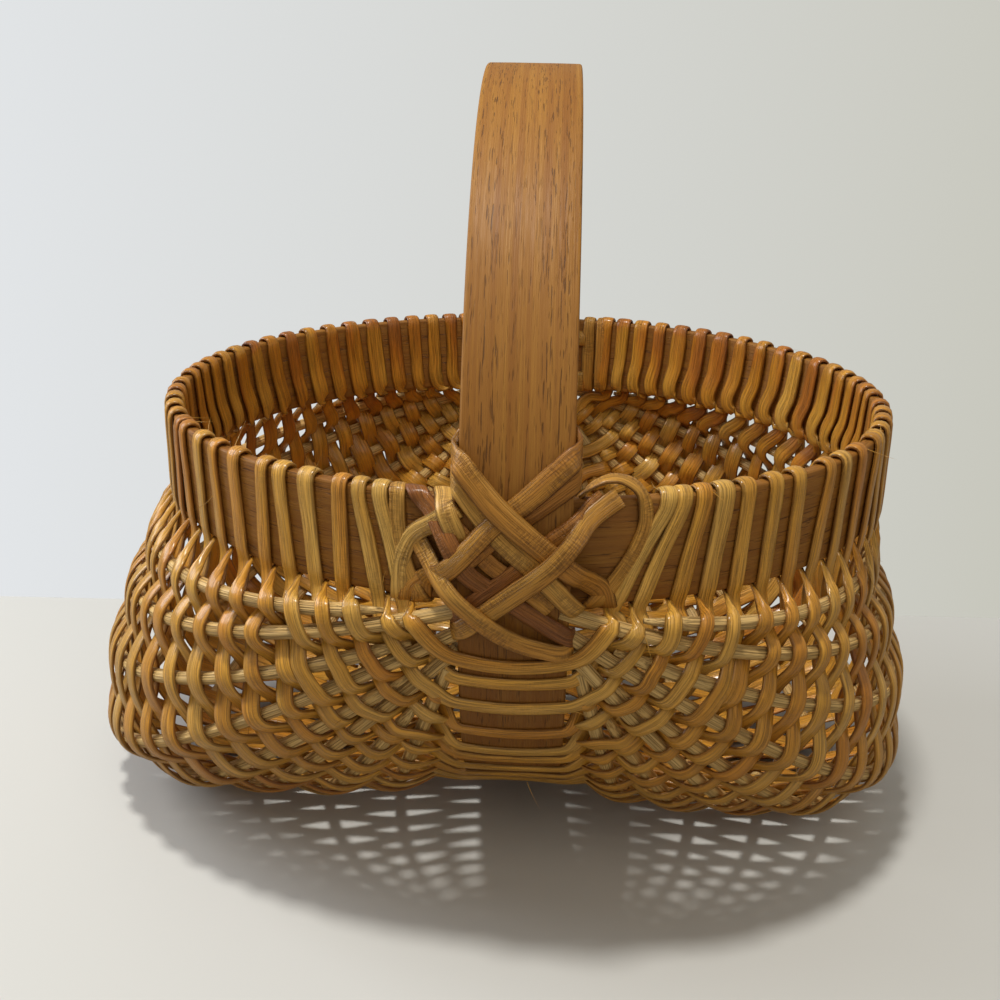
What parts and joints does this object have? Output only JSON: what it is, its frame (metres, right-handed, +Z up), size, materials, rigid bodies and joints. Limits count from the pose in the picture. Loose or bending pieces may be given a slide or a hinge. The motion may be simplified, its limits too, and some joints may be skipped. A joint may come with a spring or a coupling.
{
  "type": "buttocks basket",
  "caption": "Ribbed reed basket with an oak rim hoop, a fixed hoop handle that runs under it as a keel, and a woven belly on either side, for carrying eggs, fruit and other small goods.",
  "frame": {"origin": "on the table, under the middle of the belly's box", "axes": "+Z up; +X to the right when one crossing of the hoops faces the viewer, across both bellies; +Y towards the back crossing, so the handle hoop lies in a plane parallel to Y and Z"},
  "size_m": [0.3249, 0.2732, 0.2769],
  "materials": {
    "oak_hoop": "satin varnish over open-pored oak",
    "reed_rib": "bare round reed",
    "reed_weaver": "varnished flat reed",
    "reed_lashing": "varnished flat reed"
  },
  "bodies": {
    "root": {"rim_hoop": "oak_hoop", "handle_hoop": "oak_hoop", "rib_left_1": "reed_rib", "rib_left_2": "reed_rib", "rib_left_3": "reed_rib", "rib_left_4": "reed_rib", "rib_left_5": "reed_rib", "rib_left_6": "reed_rib", "rib_left_7": "reed_rib", "rib_left_8": "reed_rib", "rib_right_1": "reed_rib", "rib_right_2": "reed_rib", "rib_right_3": "reed_rib", "rib_right_4": "reed_rib", "rib_right_5": "reed_rib", "rib_right_6": "reed_rib", "rib_right_7": "reed_rib", "rib_right_8": "reed_rib", "weaver_01": "reed_weaver", "weaver_02": "reed_weaver", "weaver_03": "reed_weaver", "weaver_04": "reed_weaver", "weaver_05": "reed_weaver", "weaver_06": "reed_weaver", "weaver_07": "reed_weaver", "weaver_08": "reed_weaver", "weaver_09": "reed_weaver", "weaver_10": "reed_weaver", "weaver_11": "reed_weaver", "weaver_12": "reed_weaver", "weaver_13": "reed_weaver", "weaver_14": "reed_weaver", "weaver_15": "reed_weaver", "weaver_16": "reed_weaver", "weaver_17": "reed_weaver", "weaver_18": "reed_weaver", "weaver_19": "reed_weaver", "weaver_20": "reed_weaver", "weaver_21": "reed_weaver", "weaver_22": "reed_weaver", "weaver_23": "reed_weaver", "weaver_24": "reed_weaver", "weaver_25": "reed_weaver", "weaver_26": "reed_weaver", "lashing_front_1": "reed_lashing", "lashing_front_2": "reed_lashing", "lashing_front_3": "reed_lashing", "lashing_front_4": "reed_lashing", "lashing_back_1": "reed_lashing", "lashing_back_2": "reed_lashing", "lashing_back_3": "reed_lashing", "lashing_back_4": "reed_lashing"}
  },
  "joints": []
}
